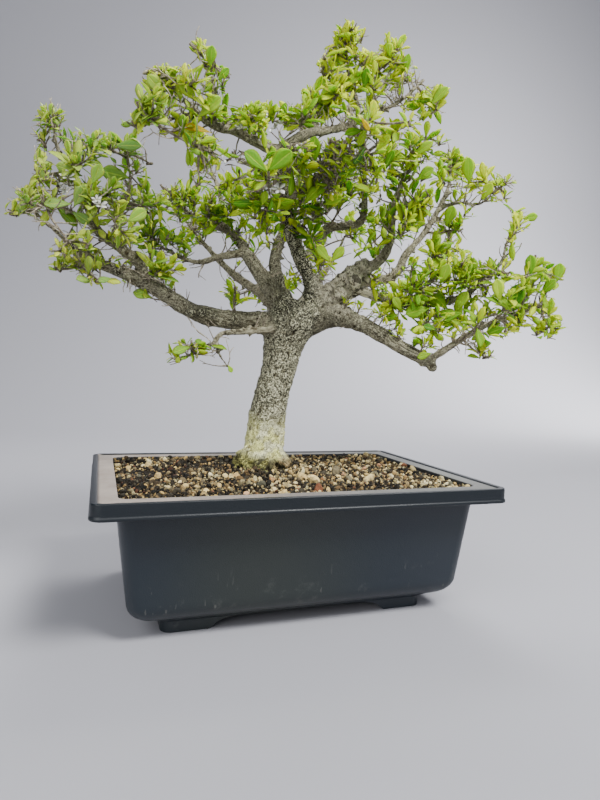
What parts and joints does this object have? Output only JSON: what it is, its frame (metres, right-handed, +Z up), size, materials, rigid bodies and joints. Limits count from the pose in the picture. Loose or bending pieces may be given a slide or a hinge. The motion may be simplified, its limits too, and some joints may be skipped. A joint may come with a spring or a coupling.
{
  "type": "bonsai tree in a rectangular training pot",
  "caption": "Small-leaved bonsai tree with a spreading flat-topped crown, growing in gravel in a low rectangular plastic pot with a wide flanged rim and corner feet.",
  "frame": {"origin": "on the ground, under the middle of the whole object's box, which the spreading crown sets; the middle of the pot stands 19 mm to -X and 35 mm to -Y of it", "axes": "+Z up; +X along the pot's long front, to the right for a viewer who faces the front; +Y away from that viewer, across the pot"},
  "size_m": [0.5904, 0.3393, 0.6496],
  "materials": {
    "pot_plastic": "dark slate grey moulded plastic with a soft sheen",
    "gravel": "mixed tan, grey and dark gravel with black soil",
    "bark": "rough grey-brown bark flecked with pale lichen",
    "leaf": "glossy green blades on thin brown twigs",
    "petal": "matt white petals"
  },
  "bodies": {
    "root": {"pot": "pot_plastic", "soil": "gravel", "tree_wood": "bark", "flower_1": "petal", "flower_2": "petal", "flower_3": "petal", "flower_4": "petal", "flower_5": "petal", "spray_back_leader_1": "leaf", "spray_back_leader_2": "leaf", "spray_back_left_1": "leaf", "spray_back_low_1": "leaf", "spray_back_right_1": "leaf", "spray_cross_1": "leaf", "spray_cross_2": "leaf", "spray_cross_3": "leaf", "spray_cross_twig_1": "leaf", "spray_dead_stick_1": "leaf", "spray_front_leader_1": "leaf", "spray_front_leader_2": "leaf", "spray_front_leader_3": "leaf", "spray_front_shoot_1": "leaf", "spray_knob_up_1": "leaf", "spray_knob_up_2": "leaf", "spray_left_back_1": "leaf", "spray_link_1": "leaf", "spray_link_2": "leaf", "spray_link_3": "leaf", "spray_link_4": "leaf", "spray_long_riser_1": "leaf", "spray_long_riser_2": "leaf", "spray_long_riser_side_1": "leaf", "spray_low_left_1": "leaf", "spray_low_left_2": "leaf", "spray_low_left_3": "leaf", "spray_low_left_fan_1": "leaf", "spray_low_left_pad_1": "leaf", "spray_low_left_pad_2": "leaf", "spray_low_left_rise_1": "leaf", "spray_low_left_rise_2": "leaf", "spray_low_left_rise_3": "leaf", "spray_low_left_rise_4": "leaf", "spray_low_left_whip_1": "leaf", "spray_low_right_out_1": "leaf", "spray_low_right_out_2": "leaf", "spray_low_right_out_3": "leaf", "spray_low_right_tip_1": "leaf", "spray_low_shoot_1": "leaf", "spray_mid_left_1": "leaf", "spray_mid_left_2": "leaf", "spray_mid_left_low_1": "leaf", "spray_mid_left_top_1": "leaf", "spray_mid_left_top_2": "leaf", "spray_right_mid_1": "leaf", "spray_right_mid_2": "leaf", "spray_right_mid_3": "leaf", "spray_upper_left_1": "leaf", "spray_upper_left_2": "leaf", "spray_upper_left_3": "leaf", "spray_upper_left_shoot_1": "leaf"}
  },
  "joints": []
}
